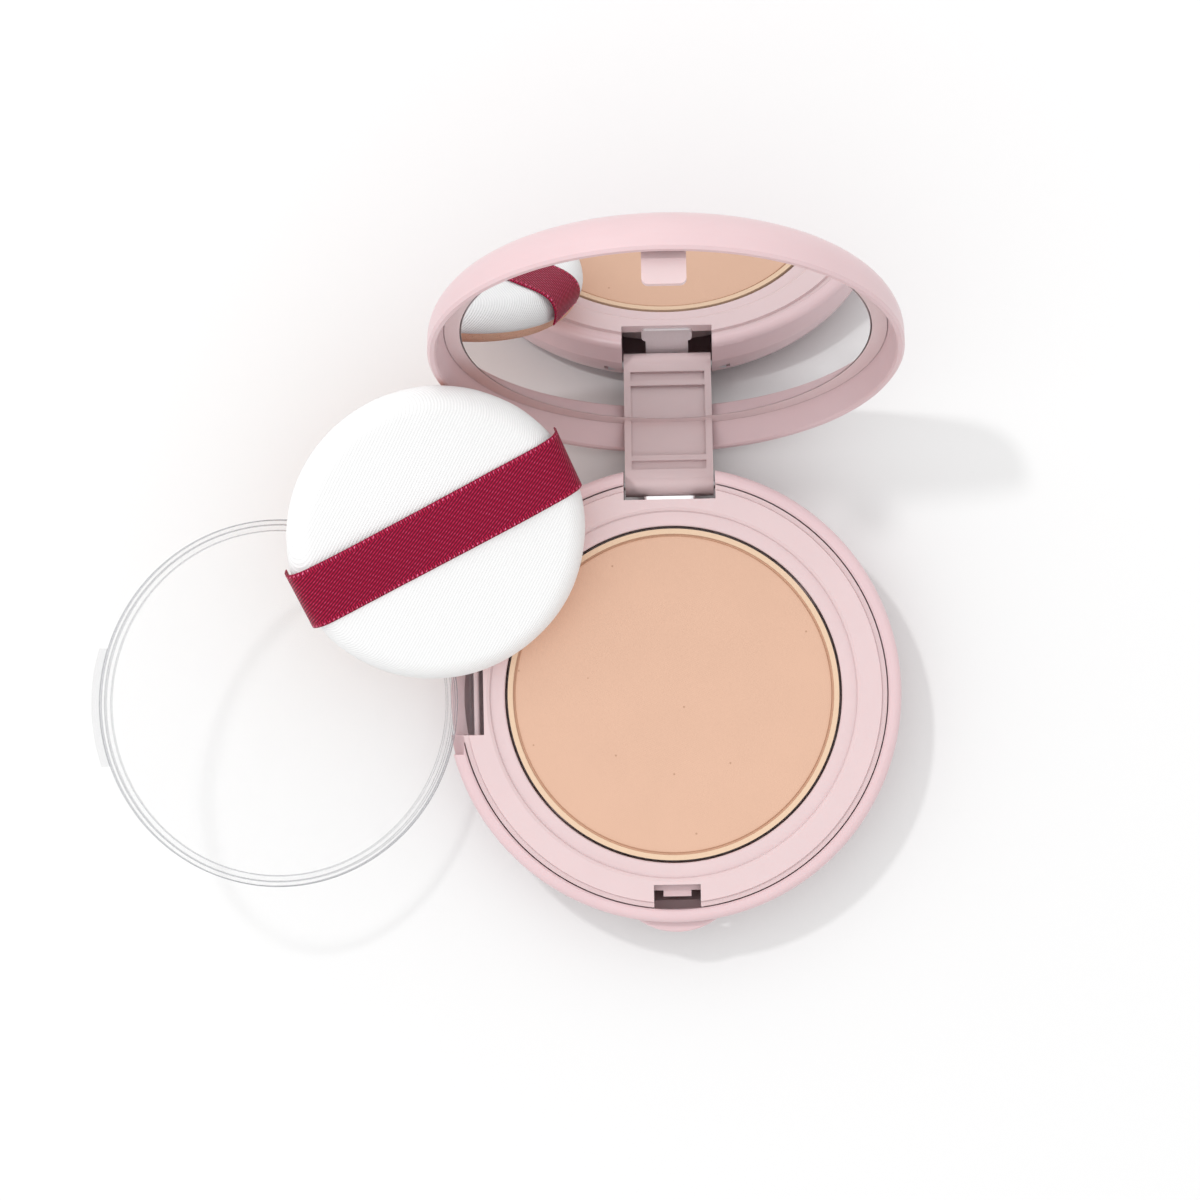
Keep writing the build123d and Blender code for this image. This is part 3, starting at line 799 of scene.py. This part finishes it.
def thread_row(name, lines, group, material, slot, **sizes):
    """Runs the thread row tree on some lines and keeps the result as a plain mesh."""
    mesh = bpy.data.meshes.new(name + "_line")
    spots = [spot for line in lines for spot in line]
    edges = []
    start = 0
    for line in lines:
        edges += [(start + k, start + k + 1) for k in range(len(line) - 1)]
        start += len(line)
    mesh.from_pydata(spots, edges, [])
    guide = bpy.data.objects.new(name + "_guide", mesh)
    bpy.context.scene.collection.objects.link(guide)
    row = guide.modifiers.new("row", "NODES")
    row.node_group = group
    for item in group.interface.items_tree:
        if item.in_out == "INPUT" and item.name in sizes:
            row[item.identifier] = sizes[item.name]
        if item.in_out == "INPUT" and item.name == "Thread":
            row[item.identifier] = material
    depsgraph = bpy.context.evaluated_depsgraph_get()
    made = bpy.data.meshes.new_from_object(guide.evaluated_get(depsgraph))
    bpy.data.objects.remove(guide)
    return keep(made, name, material)


class COMPACT_OT_ribbon(bpy.types.Operator):
    """Satin ribbon over the puff, its selvedge loops and the stitches at its ends"""

    bl_idname = "compact.ribbon"
    bl_label = "Ribbon"

    def execute(self, context):
        look = looks().ribbon
        half = [(0, 8.45), (8, 8.42), (15, 8.30), (20, 8.12), (23.2, 7.82), (25.2, 7.0)]
        half += [(26.25, 5.6), (26.45, 4.2), (26.2, 2.75)]
        arch = [Vector((-x, 0, z)) * MM for x, z in reversed(half[1:])]
        arch += [Vector((x, 0, z)) * MM for x, z in half]
        line = eased(arch, 8)
        far = [0.0]
        for a, b in zip(line, line[1:]):
            far.append(far[-1] + (b - a).length)
        total = far[-1]

        def spot(i, v):
            """A point of the ribbon: step i along it, v from -1 to 1 across it."""
            share = far[i] / total
            end = abs(2 * share - 1)
            wide = look.width * 0.5 * (1 + 0.035 * end**6)
            ripple = noise.noise(Vector((share * 9, v * 0.8, 3.0))) * 0.10 * MM
            cupped = -0.16 * MM * v * v * (1 - end**4)
            hang = 0.25 * MM * sin(share * pi * 2.0) * v * (1 - end**4)
            lean = (0.5 if share > 0.5 else 0.28) * MM * v * end**10
            here = line[i]
            beside = v * wide + look.aside * (1.12 - 0.24 * share)
            lift = (ripple + cupped + hang) * (1 - end**6)
            return Vector((here.x * look.reach + lean, beside, here.z + lift))

        count = 26
        mesh = bpy.data.meshes.new("puff_ribbon_band")
        rows = len(line)
        places = [spot(i, -1 + 2 * k / count) for i in range(rows) for k in range(count + 1)]
        mesh.from_pydata([PUFF_FRAME @ p for p in places], [], self.quads(rows, count))
        chart = mesh.uv_layers.new(name="satin")
        for loop in mesh.loops:
            i, k = divmod(loop.vertex_index, count + 1)
            chart.data[loop.index].uv = (far[i], (k / count - 0.5) * look.width)
        band = keep(mesh, "puff_ribbon_band", self.satin(look))
        wall = band.modifiers.new("thickness", "SOLIDIFY")
        wall.thickness = look.thickness
        wall.offset = 0
        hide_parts("puff_ribbon")

        group = thread_row_tree()
        loops = self.thread("selvedge thread", look)
        edges = []
        proud = Vector((0, 0, 0.16 * MM))
        for side in (-0.93, 0.93):
            edges.append([PUFF_FRAME @ (spot(i, side) + proud) for i in range(6, rows - 6)])
        thread_row(
            "ribbon_selvedge", edges, group, loops, "thread",
            Pitch=look.loop_pitch, Length=0.52 * MM, Thickness=0.24 * MM, Slant=0.9, Seed=look.seed,
        )
        ends = []
        for i in (2, rows - 3):
            out = 0.16 * MM if i > 2 else -0.16 * MM
            beyond = Vector((out, 0, 0))
            ends.append([PUFF_FRAME @ (spot(i, v / 20) + beyond) for v in range(-18, 19)])
        stitches = thread_row(
            "ribbon_end_stitches",
            ends,
            group,
            self.thread("stitch thread", look),
            "thread",
            Pitch=look.stitch_pitch,
            Length=0.95 * MM,
            Thickness=0.2 * MM,
            Slant=0.0,
            Seed=look.seed,
        )
        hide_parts("ribbon_stitching")
        return {"FINISHED"}

    def quads(self, rows, count):
        wide = count + 1
        cells = [(i, k) for i in range(rows - 1) for k in range(count)]
        corners = ((0, 0), (1, 0), (1, 1), (0, 1))
        return [tuple((i + down) * wide + k + right for down, right in corners) for i, k in cells]

    def satin(self, look):
        """Satin: slanting rows of short floats with painted highlights, painted shade between the
        threads, and a plainer woven edge.
        """
        paint = Finish("ribbon satin")
        chart = paint.add("ShaderNodeUVMap", {"uv_map": "satin"})[0]
        along, across, _ = paint.split(chart)
        slant = radians(25)
        row = (across * cos(slant) - along * sin(slant)) / look.twill
        line = (row * (2 * pi)).sine() * 0.5 + 0.5
        shift = row.whole() * 0.37
        float_ = ((along / (0.95 * MM) + shift) * (2 * pi)).sine() * 0.5 + 0.5
        stray = paint.grain(chart, 0.35 * MM, 3.0, 0.7)
        ridge = line**1.5
        edge = across.size().ramp(look.width * 0.40, look.width * 0.425)
        weft = ((along / (0.44 * MM)) * (2 * pi)).sine() * 0.5 + 0.5
        body = ridge * 0.62 + float_ * ridge * 0.38
        height = body * (1 - edge) + weft * edge * 0.8
        spark = (height * stray * 1.7).ramp(0.62, 1.0)
        # Painted shade: the low parts of the weave take the dark colour.
        shade = paint.tint(height.ramp(0.05, 0.75), rgba(look.painted_thread_shade), rgba(look.satin))
        # Painted highlight: the highest, brightest thread crests are tinted towards the glint
        # colour.
        shade = paint.tint(spark * 0.32, shade, rgba(look.painted_glint))
        woven = paint.surface(
            Base_Color=shade,
            Roughness=0.46 - height * 0.12,
            Specular_IOR_Level=0.45,
            Specular_Tint=(1.0, 0.30, 0.55, 1),
            Sheen_Weight=0.05,
            Sheen_Roughness=0.35,
            Sheen_Tint=(1.0, 0.55, 0.85, 1),
            Normal=paint.bump(height, 0.05 * MM),
        )
        return paint.done(woven)

    def thread(self, name, look):
        """Shiny thread: burgundy, with painted highlights in pale patches."""
        paint = Finish(name, PUFF_FRAME)
        here = paint.coordinates()
        fine = paint.grain(here, 0.5 * MM, 3.0, 0.7)
        # Painted highlight: pale patches by noise stand in for glints on the loops.
        shade = paint.tint(fine.ramp(0.40, 0.62), rgba(look.satin), rgba(look.painted_glint))
        twist = paint.grain(here, 0.08 * MM, 2.0)
        return paint.done(
            paint.surface(Base_Color=shade, Roughness=0.35, Normal=paint.bump(twist, 0.02 * MM))
        )


# ---- panel and registration ---------------------------------------------------------------------
MAKERS = (
    COMPACT_OT_stage,
    COMPACT_OT_shells,
    COMPACT_OT_metalwork,
    COMPACT_OT_mirror,
    COMPACT_OT_clear_cover,
    COMPACT_OT_powder,
    COMPACT_OT_puff,
    COMPACT_OT_ribbon,
)


class COMPACT_PT_makers(bpy.types.Panel):
    """Lists the makers of the compact's pieces and finishes"""

    bl_idname = "COMPACT_PT_makers"
    bl_label = "Powder Compact"
    bl_space_type = "VIEW_3D"
    bl_region_type = "UI"
    bl_category = "Compact"

    def draw(self, context):
        for maker in MAKERS:
            self.layout.operator(maker.bl_idname)


LOOKS = (ShellLook, PowderLook, PuffLook, RibbonLook, StageLook, CompactLooks)
CLASSES = (*LOOKS, *MAKERS, COMPACT_PT_makers)


def register():
    for kind in CLASSES:
        bpy.utils.register_class(kind)
    bpy.types.Scene.compact_looks = PointerProperty(type=CompactLooks)


def unregister():
    del bpy.types.Scene.compact_looks
    for kind in reversed(CLASSES):
        bpy.utils.unregister_class(kind)


def main():
    register()
    bpy.ops.compact.stage()
    bpy.ops.compact.shells()
    bpy.ops.compact.metalwork()
    bpy.ops.compact.mirror()
    bpy.ops.compact.clear_cover()
    bpy.ops.compact.powder()
    bpy.ops.compact.puff()
    bpy.ops.compact.ribbon()


if __name__ == "__main__":
    main()
